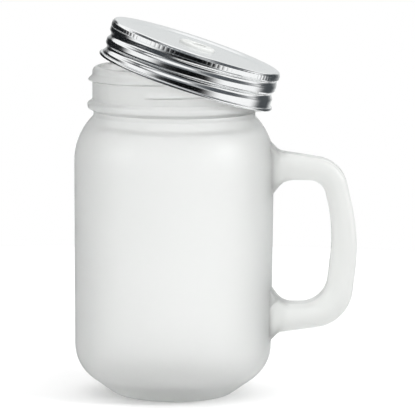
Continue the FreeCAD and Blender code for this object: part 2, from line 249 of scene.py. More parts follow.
def link_mesh(name: str, points: np.ndarray, faces: list[list[int]]) -> bpy.types.Object:
    """Link a new object at the origin.

    Args:
        name: Name of the object and its mesh.
        points: Array whose last axis is x, y and z, in millimetres.
        faces: Point numbers of every face.

    Returns:
        The new object.
    """
    mesh = bpy.data.meshes.new(name)
    mesh.from_pydata((points.reshape(-1, 3) * MM).tolist(), [], faces)
    piece = bpy.data.objects.new(name, mesh)
    bpy.context.scene.collection.objects.link(piece)
    return piece


def closed_mesh(name: str, points: np.ndarray, loop_rows: bool) -> bpy.types.Object:
    """Make a closed, smooth-shaded object from a grid of points whose columns run round.

    The rows either close on themselves or end in fans to the mean of the first and of the last
    row. The faces are turned about if the volume, a sixth of the sum of p0 . (p1 x p2), is
    negative.

    Args:
        name: Name of the object and its mesh.
        points: Array of rows by columns by three, in millimetres.
        loop_rows: Whether the last row joins the first.

    Returns:
        The new object, at the origin.
    """
    rows, columns, _ = points.shape
    number = np.arange(rows * columns).reshape(rows, columns)
    if loop_rows:
        number = np.vstack([number, number[:1]])
    wrapped = np.hstack([number, number[:, :1]])
    quads = grid_quads(wrapped)
    flat = points.reshape(-1, 3)
    fans = np.zeros((0, 3), int)
    if not loop_rows:
        first_hub, last_hub = len(flat), len(flat) + 1
        flat = np.concatenate([flat, [points[0].mean(axis=0), points[-1].mean(axis=0)]])
        fans = np.concatenate([
            np.stack([wrapped[0, :-1], wrapped[0, 1:], np.full(columns, first_hub)], axis=-1),
            np.stack([wrapped[-1, 1:], wrapped[-1, :-1], np.full(columns, last_hub)], axis=-1),
        ])
    triangles = np.concatenate([quads[:, :3], quads[:, [0, 2, 3]], fans])
    if np.linalg.det(flat[triangles]).sum() < 0.0:
        quads, fans = quads[:, ::-1], fans[:, ::-1]
    piece = link_mesh(name, flat, quads.tolist() + fans.tolist())
    mesh = piece.data
    mesh.polygons.foreach_set("use_smooth", np.ones(len(mesh.polygons), bool))
    mesh.set_sharp_from_angle(angle=math.radians(CREASE_DEGREES))
    mesh.update()
    return piece


def dress(
    piece: bpy.types.Object, material: bpy.types.Material, body: Body, slot: Slot, *nodes: str,
) -> bpy.types.Object:
    """Give a piece its material and its moving body, and hide the CAD nodes that it stands for.

    Args:
        piece: Finished piece.
        material: Its finish.
        body: Body that it rides on.
        slot: Record slot of its finish; not used.
        nodes: CAD nodes that it replaces.

    Returns:
        The piece.
    """
    piece.data.materials.append(material)
    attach(piece, body.value)
    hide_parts(*nodes)
    return piece


def new_material(name: str) -> tuple[bpy.types.Material, bpy.types.NodeTree]:
    """Start a node material.

    Args:
        name: Common name of the real material.

    Returns:
        The material and its empty tree.
    """
    material = bpy.data.materials.new(name)
    material.use_nodes = True
    material.node_tree.nodes.clear()
    return material, material.node_tree


@dataclass(frozen=True)
class FrostedGlass:
    """Soda-lime glass, pressed and then etched in acid: milky, with a satin gloss."""

    name: str = "acid_etched_soda_lime_glass"
    clear: str = "#FFFFFF"
    shaded: str = "#FBFCFB"
    body_tint: str = "#B4C0B4"
    tint_per_metre: float = 8.0
    roughness: float = 0.42
    roughness_spread: float = 0.05
    transmission: float = 0.85
    ior: float = 1.52
    cloud_mm: float = 26.0
    grain_mm: float = 0.5
    grain_depth_mm: float = 0.012
    grain_strength: float = 0.35

    def material(self) -> bpy.types.Material:
        """Build the etched glass: faint clouds in its tint and a fine grain in its surface.

        Returns:
            The material.
        """
        material, tree = new_material(self.name)
        place = add_node(tree, "ShaderNodeTexCoord").outputs["Object"]
        clouds = add_node(tree, "ShaderNodeTexNoise", {
            "Vector": place, "Scale": per_metre(self.cloud_mm), "Detail": 3.0,
        })
        tint = add_node(tree, "ShaderNodeMix", {
            "Factor": clouds.outputs["Fac"],
            "A": to_linear(self.shaded),
            "B": to_linear(self.clear),
        }, data_type="RGBA")
        # the etch is far finer than a pixel, so its grain is drawn as coarse as it needs to show
        grain = add_node(tree, "ShaderNodeTexNoise", {
            "Vector": place, "Scale": per_metre(self.grain_mm), "Detail": 2.0, "Roughness": 0.6,
        })
        etched = add_node(tree, "ShaderNodeBump", {
            "Height": grain.outputs["Fac"],
            "Strength": self.grain_strength,
            "Distance": self.grain_depth_mm * MM,
        })
        satin = add_node(tree, "ShaderNodeMapRange", {
            "Value": clouds.outputs["Fac"],
            "To Min": self.roughness - self.roughness_spread,
            "To Max": self.roughness + self.roughness_spread,
        })
        shader = add_node(tree, "ShaderNodeBsdfPrincipled", {
            "Base Color": tint.outputs["Result"],
            "Roughness": satin.outputs["Result"],
            "IOR": self.ior,
            "Transmission Weight": self.transmission,
            "Normal": etched.outputs["Normal"],
        })
        # thick glass is darker than thin, which draws the edges and the base
        depth = add_node(tree, "ShaderNodeVolumeAbsorption", {
            "Color": to_linear(self.body_tint), "Density": self.tint_per_metre,
        })
        add_node(tree, "ShaderNodeOutputMaterial", {
            "Surface": shader.outputs["BSDF"], "Volume": depth.outputs["Volume"],
        })
        return material


@dataclass(frozen=True)
class Tinplate:
    """Steel sheet plated with bright tin, then pressed, rolled and knurled: a soft mirror."""

    bright: str = "#FAFBFB"
    dull: str = "#F0F2F3"
    roughness: float = 0.16
    roughness_spread: tuple[float, float] = (0.05, 0.06)
    spangle_mm: float = 4.0
    line_mm: float = 0.8
    line_depth_mm: float = 0.006
    line_strength: float = 0.6

    def material(self, pose: LidPose) -> bpy.types.Material:
        """Build the tin: spangle in its tint and gloss, and fine lines left by the rolls.

        Args:
            pose: Where the lid stands, because the rolls ran round its axis.

        Returns:
            The material.
        """
        material, tree = new_material("bright_tinplate")
        place = add_node(tree, "ShaderNodeTexCoord").outputs["Object"]
        spangle = add_node(tree, "ShaderNodeTexNoise", {
            "Vector": place, "Scale": per_metre(self.spangle_mm), "Detail": 4.0, "Roughness": 0.6,
        })
        tint = add_node(tree, "ShaderNodeMix", {
            "Factor": spangle.outputs["Fac"],
            "A": to_linear(self.dull),
            "B": to_linear(self.bright),
        }, data_type="RGBA")
        gloss = add_node(tree, "ShaderNodeMapRange", {
            "Value": spangle.outputs["Fac"],
            "To Min": self.roughness - self.roughness_spread[0],
            "To Max": self.roughness + self.roughness_spread[1],
        })
        # the marks change only along the lid's axis: noise of the height on it
        height = add_node(tree, "ShaderNodeVectorMath", {
            0: place, 1: tuple(pose.axis),
        }, operation="DOT_PRODUCT")
        lines = add_node(tree, "ShaderNodeTexNoise", {
            "W": height.outputs["Value"], "Scale": per_metre(self.line_mm), "Detail": 2.0,
        }, noise_dimensions="1D")
        rolled = add_node(tree, "ShaderNodeBump", {
            "Height": lines.outputs["Fac"],
            "Strength": self.line_strength,
            "Distance": self.line_depth_mm * MM,
        })
        shader = add_node(tree, "ShaderNodeBsdfPrincipled", {
            "Base Color": tint.outputs["Result"],
            "Roughness": gloss.outputs["Result"],
            "Metallic": 1.0,
            "Normal": rolled.outputs["Normal"],
        })
        add_node(tree, "ShaderNodeOutputMaterial", {"Surface": shader.outputs["BSDF"]})
        return material


@dataclass(frozen=True)
class SoftMoulding:
    """Moulded elastomer with a matt skin and a faint mould grain."""

    name: str
    light: str
    dark: str
    roughness: float
    transmission: float
    ior: float = 1.41
    mottle_mm: float = 3.0
    grain_mm: float = 0.3
    grain_depth_mm: float = 0.02
    grain_strength: float = 0.4

    def material(self) -> bpy.types.Material:
        """Build the elastomer: slight mottle in its tint and a matt grain.

        Returns:
            The material.
        """
        material, tree = new_material(self.name)
        place = add_node(tree, "ShaderNodeTexCoord").outputs["Object"]
        mottle = add_node(tree, "ShaderNodeTexNoise", {
            "Vector": place, "Scale": per_metre(self.mottle_mm), "Detail": 3.0,
        })
        tint = add_node(tree, "ShaderNodeMix", {
            "Factor": mottle.outputs["Fac"],
            "A": to_linear(self.dark),
            "B": to_linear(self.light),
        }, data_type="RGBA")
        grain = add_node(tree, "ShaderNodeTexNoise", {
            "Vector": place, "Scale": per_metre(self.grain_mm),
        })
        skin = add_node(tree, "ShaderNodeBump", {
            "Height": grain.outputs["Fac"],
            "Strength": self.grain_strength,
            "Distance": self.grain_depth_mm * MM,
        })
        shader = add_node(tree, "ShaderNodeBsdfPrincipled", {
            "Base Color": tint.outputs["Result"],
            "Roughness": self.roughness,
            "IOR": self.ior,
            "Transmission Weight": self.transmission,
            "Normal": skin.outputs["Normal"],
        })
        add_node(tree, "ShaderNodeOutputMaterial", {"Surface": shader.outputs["BSDF"]})
        return material


@dataclass(frozen=True)
class GlassJar:
    """Pressed glass jar: ring foot, body, shoulder, bead, threaded neck and rounded rim."""

    height: float = 132.4
    foot_radius: float = 22.8
    foot_width: float = 4.5
    foot_round: float = 8.0
    push_up: float = 2.5
    base_slope: float = 35.5
    base_radius: float = 39.4
    base_round: float = 16.5
    body_radius: float = 40.1
    shoulder_height: float = 103.8
    shoulder_slope: float = 49.0
    shoulder_round: float = 25.0
    body_wall: float = 3.4
    floor_thickness: float = 4.5
    inner_base_round: float = 10.0
    neck_radius: float = 32.9
    neck_wall: float = 3.3
    crease_radius: float = 32.4
    crease_round: float = 0.9
    bead_radius: float = 34.8
    bead_height: float = 116.8
    bead_width: float = 4.8
    bead_land: float = 2.0
    bead_round: float = 1.0
    rim_round: float = 2.2
    rim_inner_round: float = 0.9
    thread_pitch: float = 5.3
    thread_rise: float = 1.7
    thread_below_rim: float = 9.8
    thread_turns: float = 1.055
    thread_start_angle: float = 247.0
    thread_runout: float = 16.0
    thread_widths: tuple[float, float] = (0.85, 2.5)
    fold_depth: float = 0.25
    fold_width: float = 0.45
    seam_angles: tuple[float, float] = (38.0, 218.0)
    seam_rise: float = 0.08
    seam_width: float = 0.35
    seam_steps: tuple[float, ...] = (-3.0, -2.0, -1.3, -0.7, 0.0, 0.7, 1.3, 2.0, 3.0)
    hub_radius: float = 0.5
    columns: int = 340
    arc_points: int = 9
    line_points: tuple[int, ...] = (5, 1, 2, 10, 3, 1, 0, 1, 1, 1, 0, 60, 1, 8, 2, 8, 2, 5)

    def wall_shift(self, slope: float) -> float:
        """How far the inner corner lies up or down from the outer one, for a slope in degrees."""
        return self.body_wall * math.tan(math.radians(45 - slope / 2))

    def outline(self) -> np.ndarray:
        """Outline of the glass from the middle of its underside, over the rim, to its floor.

        Returns:
            Array of (radius, height) rows.
        """
        base_tan = math.tan(math.radians(self.base_slope))
        shoulder_tan = math.tan(math.radians(self.shoulder_slope))
        base_corner = (self.base_radius - self.foot_radius) * base_tan
        crease_rise = (self.body_radius - self.crease_radius) * shoulder_tan
        crease_corner = self.shoulder_height + crease_rise
        bead_low = self.bead_height - self.bead_width / 2
        bead_high = self.bead_height + self.bead_width / 2
        land = self.bead_land / 2
        neck_inner = self.neck_radius - self.neck_wall
        body_inner = self.body_radius - self.body_wall
        base_inner = self.base_radius - self.body_wall
        shoulder_inner = self.shoulder_height - self.wall_shift(self.shoulder_slope)
        neck_foot = shoulder_inner + (body_inner - neck_inner) * shoulder_tan
        inner_corner = base_corner + self.wall_shift(self.base_slope)
        floor = self.push_up + self.floor_thickness
        floor_radius = base_inner - (inner_corner - floor) / base_tan
        corners = [
            Corner(self.hub_radius, self.push_up),
            Corner(self.foot_radius - self.foot_width, 0.0),
            Corner(self.foot_radius, 0.0, self.foot_round),
            Corner(self.base_radius, base_corner, self.base_round),
            Corner(self.body_radius, self.shoulder_height, self.shoulder_round),
            Corner(self.crease_radius, crease_corner, self.crease_round),
            Corner(self.crease_radius, bead_low - self.fold_width),
            Corner(self.crease_radius - self.fold_depth, bead_low, self.fold_width / 3),
            Corner(self.bead_radius, self.bead_height - land, self.bead_round),
            Corner(self.bead_radius, self.bead_height + land, self.bead_round),
            Corner(self.neck_radius - self.fold_depth / 2, bead_high, self.fold_width / 3),
            Corner(self.neck_radius, bead_high + self.fold_width),
            Corner(self.neck_radius, self.height, self.rim_round),
            Corner(neck_inner, self.height, self.rim_inner_round),
            Corner(neck_inner, neck_foot, self.shoulder_round / 2),
            Corner(body_inner, shoulder_inner, self.shoulder_round - self.body_wall),
            Corner(base_inner, inner_corner, self.base_round - self.body_wall),
            Corner(floor_radius, floor, self.inner_base_round),
            Corner(self.hub_radius, floor),
        ]
        return rounded_run(corners, self.arc_points, self.line_points)

    def wall_radius(self, height: np.ndarray) -> np.ndarray:
        """Outer radius of the jar without its thread and seams.

        Args:
            height: Heights between the jar's base and its rim.

        Returns:
            Array of radii.
        """
        outline = self.outline()
        outer = outline[:int(np.argmax(outline[:, 1]))]
        return np.interp(height, outer[:, 1], outer[:, 0])

    def build(self, glass: bpy.types.Material) -> bpy.types.Object:
        """Turn the outline and raise the thread and the neck mould's two seams on its outside.

        The radius grows by thread rise times helix share, falls by fold depth along the thread's
        lower foot, and grows by seam rise times exp(-(distance from the seam / seam width)^2).

        Args:
            glass: Finish of the jar.

        Returns:
            The dressed jar.
        """
        outline = self.outline()
        seam_angles = np.array(self.seam_angles)
        beside = np.degrees(np.array(self.seam_steps) * self.seam_width / self.neck_radius)
        seams = (seam_angles[:, None] + beside).ravel()
        degrees = np.union1d(np.degrees(full_turn(self.columns)), seams)
        radius, height = outline[:, 0, None], outline[:, 1, None]
        thread = Helix(
            self.thread_start_angle, self.height - self.thread_below_rim, self.thread_pitch,
            self.thread_turns, self.thread_runout, self.thread_widths)
        foot = replace(
            thread, start_height=thread.start_height - self.thread_widths[0],
            half_widths=(self.fold_width, self.fold_width))
        share, fold = thread.share(degrees, height), foot.share(degrees, height)
        away = np.abs((degrees[:, None] - seam_angles + 180.0) % 360.0 - 180.0).min(axis=1)
        seam = np.exp(-(np.radians(away) * self.neck_radius / self.seam_width) ** 2)
        fading = smooth_step((self.height - self.rim_round / 2 - height) / self.rim_round)
        bead_high = self.bead_height + self.bead_width / 2
        outside = (radius > self.neck_radius - self.rim_round / 2) & (height > bead_high)
        rise = self.thread_rise * share - self.fold_depth * fold
        rise = rise + self.seam_rise * seam * fading * (1.0 - share)
        rise = np.where(outside, rise, 0.0)
        points = turned(outline, np.radians(degrees))
        points[..., :2] *= (1.0 + rise / radius)[..., None]
        jar = closed_mesh("jar", points, loop_rows=False)
        return dress(jar, glass, Body.JAR, Slot.GLASS, "jar_body")


@dataclass(frozen=True)
class GlassHandle:
    """D-shaped glass handle, pressed hot on to the side of the jar."""

    depth: float = 14.4
    crown: float = 0.3
    edge_round: float = 3.0
    root_x: float = 37.9
    flare: float = 4.2
    root_round: float = 4.0
    window_flare: tuple[float, float] = (5.8, 8.0)
    window_root_round: float = 8.0
    reach: float = 74.4
    middle: float = 64.0
    side_round: float = 75.2
    grip: float = 10.1
    window_rise: float = 3.0
    top_height: float = 98.6
    top_drop: float = 4.0
    top_thickness: float = 11.2
    top_reach: float = 67.4
    top_round: float = 13.6
    bottom_height: float = 25.6
    bottom_rise: float = 4.2
    bottom_thickness: float = 11.7
    bottom_reach: float = 70.6
    bottom_round: float = 16.5
    window_top_round: float = 7.0
    window_bottom_round: float = 11.0
    spread: float = 1.6
    spread_length: float = 7.0
    set_in: float = 0.3
    fold_from: tuple[float, float] = (38.2, 35.9)
    fold_to: tuple[float, float] = (42.6, 39.4)
    fold_width: float = 0.55
    fold_depth: float = 0.6
    fold_ease: float = 0.5
    edge_points: int = 8
    face_points: int = 17
    arc_points: int = 21
    line_points: tuple[int, ...] = (14, 30, 8, 8, 30, 14)

    def runs(self) -> list[np.ndarray]:
        """Outer and inner side of the handle, from its lower to its upper root.

        Returns:
            Two arrays of (x, z) rows that match point for point.
        """
        flare_end = self.root_x + self.flare
        window_flare, window_lift = self.window_flare
        window_end = self.root_x + window_flare
        window_low = self.bottom_height + self.bottom_thickness
        window_high = self.top_height - self.top_thickness
        low_corner = self.bottom_height + self.bottom_rise
        high_corner = self.top_height - self.top_drop
        window_side = self.reach - self.grip
        window_middle = self.middle + self.window_rise
        low_lean = (self.reach - self.bottom_reach) / (self.middle - low_corner)
        high_lean = (self.reach - self.top_reach) / (high_corner - self.middle)
        low_side = window_side - low_lean * (window_middle - window_low)
        high_side = window_side - high_lean * (window_high - window_middle)
        outer = [
            Corner(self.root_x, self.bottom_height - self.flare),
            Corner(flare_end, self.bottom_height, self.root_round),
            Corner(self.bottom_reach, low_corner, self.bottom_round),
            Corner(self.reach, self.middle, self.side_round),
            Corner(self.top_reach, high_corner, self.top_round),
            Corner(flare_end, self.top_height, self.root_round),
            Corner(self.root_x, self.top_height + self.flare),
        ]
        inner = [
            Corner(self.root_x, window_low + window_lift),
            Corner(window_end, window_low, self.window_root_round),
            Corner(low_side, window_low, self.window_bottom_round),
            Corner(window_side, window_middle, self.side_round - self.grip),
            Corner(high_side, window_high, self.window_top_round),
            Corner(window_end, window_high, self.window_root_round),
            Corner(self.root_x, window_high - window_lift),
        ]
        return [rounded_run(side, self.arc_points, self.line_points) for side in (outer, inner)]

    def section(self) -> np.ndarray:
        """Rounded rectangle as rows of (side u, side v, cos a, sin a).

        A point of it is (u (T - r) + r cos a, v (D - r) + r sin a) for half sizes T and D and
        corner radius r, so that the corners keep their radius at any size.

        Returns:
            Array of those rows, once round.
        """
        quarter = np.linspace(0.0, 0.5 * math.pi, self.edge_points)
        flat = np.linspace(1.0, -1.0, self.face_points + 2)[1:-1]
        round_side, still = np.ones_like(quarter), np.ones_like(flat)
        rows = []
        for number, (u, v) in enumerate([(1, 1), (-1, 1), (-1, -1), (1, -1)]):
            angle = quarter + number * 0.5 * math.pi
            corner = [round_side * u, round_side * v, np.cos(angle), np.sin(angle)]
            along = [flat * u, still * v] if number % 2 == 0 else [still * u, flat * v]
            face = [*along, still * math.cos(angle[-1]), still * math.sin(angle[-1])]
            rows += [np.stack(corner, axis=1), np.stack(face, axis=1)]
        return np.concatenate(rows)

    def fold(self, x: np.ndarray, z: np.ndarray) -> np.ndarray:
        """Share of the fold's depth, from the hot glass that lapped over itself at the lower root.

        It is exp(-(d / width)^2) for the distance d from the fold's line. Each end is eased out
        over a share of the fold's length.

        Args:
            x: Places outwards.
            z: Heights.

        Returns:
            Array of shares.
        """
        start, end = np.array(self.fold_from), np.array(self.fold_to)
        length = np.linalg.norm(end - start)
        ahead = (end - start) / length
        along = ((x - start[0]) * ahead[0] + (z - start[1]) * ahead[1]) / length
        away = (z - start[1]) * ahead[0] - (x - start[0]) * ahead[1]
        beyond = np.abs(along - 0.5) - 0.5
        ends = smooth_step(0.5 - beyond / self.fold_ease)
        return ends * np.exp(-(away / self.fold_width) ** 2)

    def build(self, jar: GlassJar, glass: bpy.types.Material) -> bpy.types.Object:
        """Carry the section along the handle and seat both roots on the jar.

        At each station the section spans from the inner to the outer side. Its depth spreads
        near the roots, its broad faces are crowned by crown (1 - u^2), the fold dents the front,
        and no point lies further in than the jar's wall at sqrt(R(z)^2 - y^2).

        Args:
            jar: The jar that carries the handle.
            glass: Finish of the handle.

        Returns:
            The dressed handle.
        """
        outer, inner = self.runs()
        middle = (outer + inner) / 2
        half = (outer - inner) / 2
        thickness = np.linalg.norm(half, axis=1)[:, None]
        direction = half / thickness
        near = smooth_step(1.0 - (middle[:, 0] - jar.body_radius) / self.spread_length)
        depth = (self.depth / 2 + self.spread * near ** 2)[:, None]
        u, v, cosine, sine = self.section().T
        across = u * (thickness - self.edge_round) + self.edge_round * cosine
        crown = self.crown * (1.0 - u ** 2) * np.where(np.abs(cosine) < ZERO, np.sign(sine), 0.0)
        y = v * (depth - self.edge_round) + self.edge_round * sine + crown
        x = middle[:, 0, None] + direction[:, 0, None] * across
        z = middle[:, 1, None] + direction[:, 1, None] * across
        y = y + self.fold_depth * np.where(y < 0.0, self.fold(x, z), 0.0)
        wall = np.sqrt(jar.wall_radius(z) ** 2 - y ** 2) - self.set_in
        points = np.stack([np.maximum(x, wall), y, z], axis=-1)
        handle = closed_mesh("handle", points, loop_rows=False)
        return dress(handle, glass, Body.JAR, Slot.GLASS, "jar_handle")


@dataclass(frozen=True)
class LidPose:
    """Where the perched lid stands: the centre of its foot and its upright axis."""

    foot: np.ndarray
    axis: np.ndarray

    @classmethod
    def from_joint(cls, name: str) -> LidPose:
        """Read the pose from the joint that the lid turns on.

        Args:
            name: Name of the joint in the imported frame.

        Returns:
            The pose.
        """
        joint = next(joint for joint in frame["joints"] if joint["name"] == name)
        axis = np.array(joint["axis"], float)
        return cls(np.array(joint["pos_m"], float) / MM, axis / np.linalg.norm(axis))

    def place(self, points: np.ndarray) -> np.ndarray:
        """Move points from the lid's frame to the part's: turned by the lean, then set on the foot.

        Args:
            points: Array whose last axis is x, y and z.

        Returns:
            The moved points.
        """
        tilt = math.acos(self.axis[2])
        heading = math.atan2(self.axis[1], self.axis[0])
        turn = Matrix.Rotation(heading, 3, "Z") @ Matrix.Rotation(tilt, 3, "Y")
        return points @ np.array(turn).T + self.foot


@dataclass(frozen=True)
class ScrewLid:
    """Tinplate lid: recessed panel, raised ring, knurl, rolled thread and curled edge."""

    wall: float = 0.3
    radius: float = 35.2
    height: float = 15.6
    top_round: float = 1.1
    curl_radius: float = 0.75
    curl_reach: float = 36.3
    roll_depth: float = 1.0
    roll_start: tuple[float, float] = (115.0, 2.7)
    roll_turns: float = 1.72
    roll_runout: float = 25.0
    roll_half_width: float = 2.0
    pitch: float = 5.3
    knurl_band: float = 2.0
    knurl_below_top: float = 1.0
    knurl_step: float = 0.2
    knurl_raise: float = 0.2
    knurl_depth: float = 0.055
    knurl_count: int = 110
    groove_width: float = 0.3
    rib_shares: tuple[float, ...] = (0.0, 0.12, 0.28, 0.5, 0.72, 0.88)
    ring_inner_radius: float = 29.2
    ring_split: float = 32.0
    panel_radius: float = 27.6
    panel_drop: float = 0.7
    panel_round: float = 0.7
    straw_hole_radius: float = 5.6
    curl_points: int = 26
    outer_arc: int = 8
    outer_lines: tuple[int, ...] = (1, 9, 0, 64)
    inner_arc: int = 5
    inner_lines: tuple[int, ...] = (26, 0, 1, 0)
    panel_arc: int = 7
    panel_lines: tuple[int, ...] = (10, 1, 2, 0, 1, 1, 6)

    def angles(self) -> np.ndarray:
        """Angles of the lid's grids, denser in the knurl's grooves than on its ribs."""
        shares = np.arange(self.knurl_count)[:, None] + np.array(self.rib_shares)
        return 2 * math.pi * shares.ravel() / self.knurl_count

    def skirt(self) -> np.ndarray:
        """Turn the wall with its curl, press the thread in and raise the knurl.

        The outline goes from the ring down the outside, round the curl and up the inside. The
        radius falls by roll depth times helix share on both sides. In the knurl's band it grows
        by depth times 1 - exp(-(d / groove width)^2) for the distance d from the next groove.

        Returns:
            Grid of points in the lid's frame.
        """
        seat = self.radius - self.knurl_step
        band_low = self.height - self.knurl_below_top - self.knurl_band
        inner = self.radius - self.wall
        centre = self.curl_reach - self.curl_radius
        leave = math.acos((self.radius - centre) / self.curl_radius)
        arrive = -2 * math.pi + math.acos((inner - centre) / self.curl_radius)
        around = np.linspace(leave, arrive, self.curl_points)
        curl = self.curl_radius * np.stack([np.cos(around), 1 + np.sin(around)], axis=1)
        curl[:, 0] += centre
        outside = rounded_run([
            Corner(self.ring_split, self.height),
            Corner(seat, self.height, self.top_round),
            Corner(seat, band_low),
            Corner(self.radius, band_low - self.knurl_step),
            Corner(curl[0, 0], curl[0, 1]),
        ], self.outer_arc, self.outer_lines)
        inside = rounded_run([
            Corner(curl[-1, 0], curl[-1, 1]),
            Corner(inner, band_low - self.knurl_step),
            Corner(seat - self.wall, band_low),
            Corner(seat - self.wall, self.height - self.wall, self.top_round - self.wall),
            Corner(self.ring_split, self.height - self.wall),
        ], self.inner_arc, self.inner_lines)
        outline = np.concatenate([outside, curl[1:-1], inside])
        angles = self.angles()
        radius, height = outline[:, 0, None], outline[:, 1, None]
        roll = Helix(
            *self.roll_start, self.pitch, self.roll_turns, self.roll_runout,
            (self.roll_half_width, self.roll_half_width))
        pressed = self.roll_depth * roll.share(np.degrees(angles), height)
        above_curl = smooth_step((height - 2 * self.curl_radius) / self.curl_radius)
        below_knurl = smooth_step((band_low - height) / self.knurl_step)
        band = smooth_step((height - band_low) / self.knurl_step)
        band = band * smooth_step((band_low + self.knurl_band - height) / self.knurl_step)
        share = self.knurl_count * angles / (2 * math.pi)
        away = np.abs(share - np.round(share)) * 2 * math.pi * self.radius / self.knurl_count
        groove = np.exp(-(away / self.groove_width) ** 2)
        teeth = self.knurl_raise + self.knurl_depth * (1.0 - groove)
        outer = radius > seat - self.wall / 2
        change = np.where(outer, band * teeth, 0.0) - pressed * above_curl * below_knurl
        points = turned(outline, angles)
        points[..., :2] *= (1.0 + change / radius)[..., None]
        return points

    def panel(self) -> np.ndarray:
        """Turn the raised ring's inner half, its slope and the recessed panel with the straw hole.

        Returns:
            Grid of points in the lid's frame.
        """
        ceiling = self.height - self.wall
        level = self.height - self.panel_drop
        slope = math.atan2(self.panel_drop, self.ring_inner_radius - self.panel_radius)
        shift = self.wall * math.tan(slope / 2)
        outline = rounded_run([
            Corner(self.straw_hole_radius, level),
            Corner(self.panel_radius, level, self.panel_round),
            Corner(self.ring_inner_radius, self.height, self.panel_round),
            Corner(self.ring_split, self.height),
            Corner(self.ring_split, ceiling),
            Corner(self.ring_inner_radius + shift, ceiling, self.panel_round - self.wall),
            Corner(self.panel_radius + shift, level - self.wall, self.panel_round + self.wall),
            Corner(self.straw_hole_radius, level - self.wall),
        ], self.panel_arc, self.panel_lines)
        return turned(outline, self.angles())

    def build(self, pose: LidPose, tin: bpy.types.Material) -> list[bpy.types.Object]:
        """Build and dress the skirt and the panel, which meet in the middle of the raised ring.

        Args:
            pose: Where the lid stands.
            tin: Finish of the sheet.

        Returns:
            The dressed skirt and panel.
        """
        skirt = closed_mesh("lid_skirt", pose.place(self.skirt()), loop_rows=True)
        panel = closed_mesh("lid_panel", pose.place(self.panel()), loop_rows=True)
        return [dress(piece, tin, Body.LID, Slot.TIN, "lid_shell") for piece in (skirt, panel)]


@dataclass(frozen=True)
class SealRing:
    """Flat rubber ring in the channel under the lid's raised ring."""

    inner_radius: float = 29.56
    outer_radius: float = 33.6
    top: float = 15.25
    thickness: float = 0.65
    edge_round: float = 0.3
    columns: int = 256
    arc_points: int = 5
    line_points: tuple[int, ...] = (0, 3, 0)

    def build(self, pose: LidPose, rubber: bpy.types.Material) -> bpy.types.Object:
        """Turn the ring's flat section about the lid's axis.

        Args:
            pose: Where the lid stands.
            rubber: Finish of the ring.

        Returns:
            The dressed ring.
        """
        low = self.top - self.thickness
        outline = rounded_run([
            Corner(self.inner_radius, self.top),
            Corner(self.inner_radius, low, self.edge_round),
            Corner(self.outer_radius, low, self.edge_round),
            Corner(self.outer_radius, self.top),
        ], self.arc_points, self.line_points)
        points = pose.place(turned(outline, full_turn(self.columns)))
        ring = closed_mesh("seal_ring", points, loop_rows=True)
        return dress(ring, rubber, Body.SEAL, Slot.RUBBER, "lid_seal")


@dataclass(frozen=True)
class StrawGrommet:
    """Soft collar that grips the edge of the straw hole between two flanges."""

    bore_radius: float = 3.9
    waist_radius: float = 5.55
    flange_radius: float = 7.35
    flange_height: float = 1.1
    lip_radius: float = 6.9
    lip_height: float = 1.0
    edge_round: float = 0.45
    top_round: float = 1.0
    bore_round: float = 0.3
    columns: int = 128
    arc_points: int = 8
    line_points: tuple[int, ...] = (1, 2, 0, 0, 0, 0, 0, 2, 1)

    def build(
        self, lid: ScrewLid, pose: LidPose, silicone: bpy.types.Material,
    ) -> bpy.types.Object:
        """Turn the collar's section about the lid's axis.

        Args:
            lid: Lid whose panel the collar grips.
            pose: Where the lid stands.
            silicone: Finish of the collar.

        Returns:
            The dressed collar.
        """
        panel = lid.height - lid.panel_drop
        under = panel - lid.wall
        low = under - self.lip_height
        top = panel + self.flange_height
        outline = rounded_run([
            Corner(self.bore_radius, (low + top) / 2),
            Corner(self.bore_radius, low, self.bore_round),
            Corner(self.lip_radius, low, self.edge_round),
            Corner(self.lip_radius, under),
            Corner(self.waist_radius, under),
            Corner(self.waist_radius, panel),
            Corner(self.flange_radius, panel),
            Corner(self.flange_radius, top, self.top_round),
            Corner(self.bore_radius, top, self.bore_round),
            Corner(self.bore_radius, (low + top) / 2 + self.bore_round),
        ], self.arc_points, self.line_points)
        points = pose.place(turned(outline, full_turn(self.columns)))
        collar = closed_mesh("grommet", points, loop_rows=True)
        return dress(collar, silicone, Body.LID, Slot.SILICONE, "straw_grommet")


